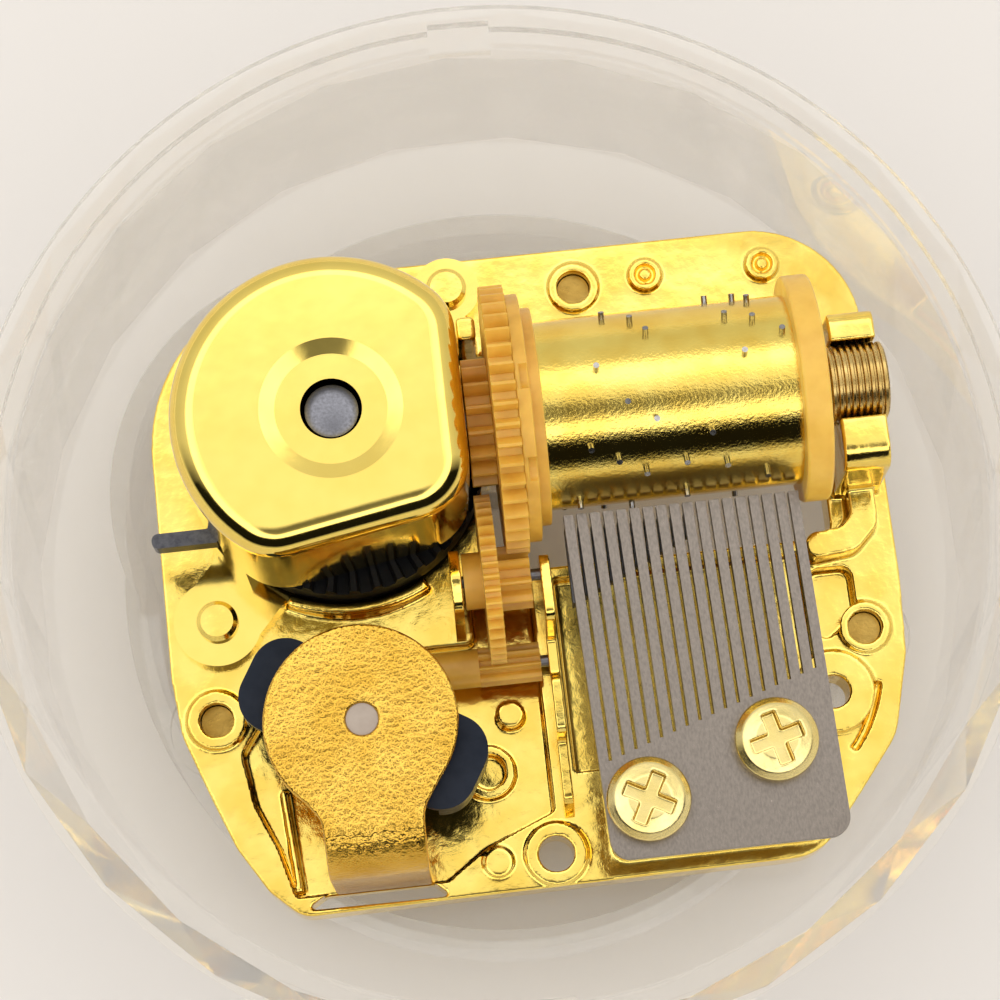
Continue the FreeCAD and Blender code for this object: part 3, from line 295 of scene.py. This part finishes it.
# voxel in mm, and passes of smoothing
CAST = {
    "bedplate": (0.12, 5), "gear_bracket_right": (0.06, 4), "gear_bracket_left": (0.06, 4),
    "worm_bearing": (0.08, 4), "governor_cover": (0.11, 6), "comb_screws": (0.06, 10),
}
for node, width in ROUNDED.items():
    rounded(node, width)
for node, (voxel, passes) in CAST.items():
    cast(node, voxel, passes)
for node, part in frame["nodes"].items():
    if node not in ROUNDED and node not in CAST:
        part.data.materials.clear()
        part.data.materials.append(look_of(node))


# ------------------------------------------------------------------ stage
def stage_floor():
    """A pale, plain table top."""
    mesh = bpy.data.meshes.new("floor")
    half = 1.5  # metres
    mesh.from_pydata([(-half, -half, 0), (half, -half, 0), (half, half, 0), (-half, half, 0)],
                     [], [(0, 1, 2, 3)])
    floor = bpy.data.objects.new("floor", mesh)
    bpy.context.scene.collection.objects.link(floor)
    material, tree, shader = start_material("floor_look")
    shader.inputs["Base Color"].default_value = (0.80, 0.76, 0.725, 1.0)
    shader.inputs["Roughness"].default_value = 0.7
    mesh.materials.append(material)


def studio_light():
    """Light from the room: bright above and behind, dark in front at mid height."""
    world = bpy.data.worlds.new("studio")
    bpy.context.scene.world = world
    world.use_nodes = True
    tree = world.node_tree
    background = tree.nodes["Background"]
    source = tree.nodes.new("ShaderNodeTexCoord")
    split = tree.nodes.new("ShaderNodeSeparateXYZ")
    tree.links.new(source.outputs["Generated"], split.inputs["Vector"])

    def ramp(stops):
        """Brightness by height: (upward part of the direction, level) pairs."""
        node = tree.nodes.new("ShaderNodeValToRGB")
        node.color_ramp.interpolation = "LINEAR"
        entries = node.color_ramp.elements
        while len(entries) < len(stops):
            entries.new(0.5)
        for entry, (position, level) in zip(entries, stops):
            entry.position = position
            entry.color = (level, level * 0.99, level * 0.965, 1.0)
        tree.links.new(split.outputs["Z"], node.inputs["Fac"])
        return node.outputs["Color"]

    def blend_sockets(factor, first, second):
        node = tree.nodes.new("ShaderNodeMix")
        node.data_type = "RGBA"
        for number, socket in ((0, factor), (6, first), (7, second)):
            tree.links.new(socket, node.inputs[number])
        return node.outputs[2]

    front = ramp([(0.0, 0.45), (0.12, 0.22), (0.16, 0.006), (0.71, 0.006), (0.76, 1.25),
                  (0.93, 1.2), (0.97, 0.75)])
    back = ramp([(0.0, 0.40), (0.35, 0.42), (0.72, 0.50), (0.80, 1.3), (0.93, 1.2),
                 (0.965, 0.72)])
    side = remap(tree, split.outputs["Y"], -0.15, 0.15, 0.0, 1.0)
    walls = blend_sockets(side, front, back)
    # a small dark patch overhead, as a camera and its stand leave in a studio
    near = tree.nodes.new("ShaderNodeVectorMath")
    near.operation = "DOT_PRODUCT"
    near.inputs[1].default_value = [-part for part in CAMERA_VIEW]
    tree.links.new(source.outputs["Generated"], near.inputs[0])
    patch = remap(tree, near.outputs["Value"], 0.962, 0.985, 1.0, 0.15)
    dark = tree.nodes.new("ShaderNodeVectorMath")
    dark.operation = "SCALE"
    tree.links.new(walls, dark.inputs[0])
    tree.links.new(patch, dark.inputs["Scale"])
    # matt surfaces and light through the clear case see an even room instead
    path = tree.nodes.new("ShaderNodeLightPath")
    soft = tree.nodes.new("ShaderNodeMath")
    soft.operation = "MAXIMUM"
    tree.links.new(path.outputs["Is Diffuse Ray"], soft.inputs[0])
    tree.links.new(path.outputs["Is Transmission Ray"], soft.inputs[1])
    even = tree.nodes.new("ShaderNodeRGB")
    even.outputs[0].default_value = (0.655, 0.645, 0.625, 1.0)
    room = blend_sockets(soft.outputs["Value"], dark.outputs["Vector"], even.outputs[0])
    tree.links.new(room, background.inputs["Color"])
    background.inputs["Strength"].default_value = 1.6


def place_camera():
    """The camera looks down on the open case from a little in front of it."""
    data = bpy.data.cameras.new("camera")
    camera = bpy.data.objects.new("camera", data)
    bpy.context.scene.collection.objects.link(camera)
    right = Vector(CAMERA_RIGHT).normalized()
    view = Vector(CAMERA_VIEW).normalized()
    up = right.cross(view)
    turn = Matrix((
        (right.x, up.x, -view.x, 0.0),
        (right.y, up.y, -view.y, 0.0),
        (right.z, up.z, -view.z, 0.0),
        (0.0, 0.0, 0.0, 1.0),
    ))
    camera.matrix_world = Matrix.Translation(Vector(CAMERA_AT_MM) * MM) @ turn
    data.sensor_width = CAMERA_SENSOR
    data.lens = CAMERA_LENS
    data.clip_start = 0.01
    data.dof.use_dof = False
    bpy.context.scene.camera = camera


stage_floor()
studio_light()
place_camera()
bpy.context.scene.view_settings.view_transform = "Standard"
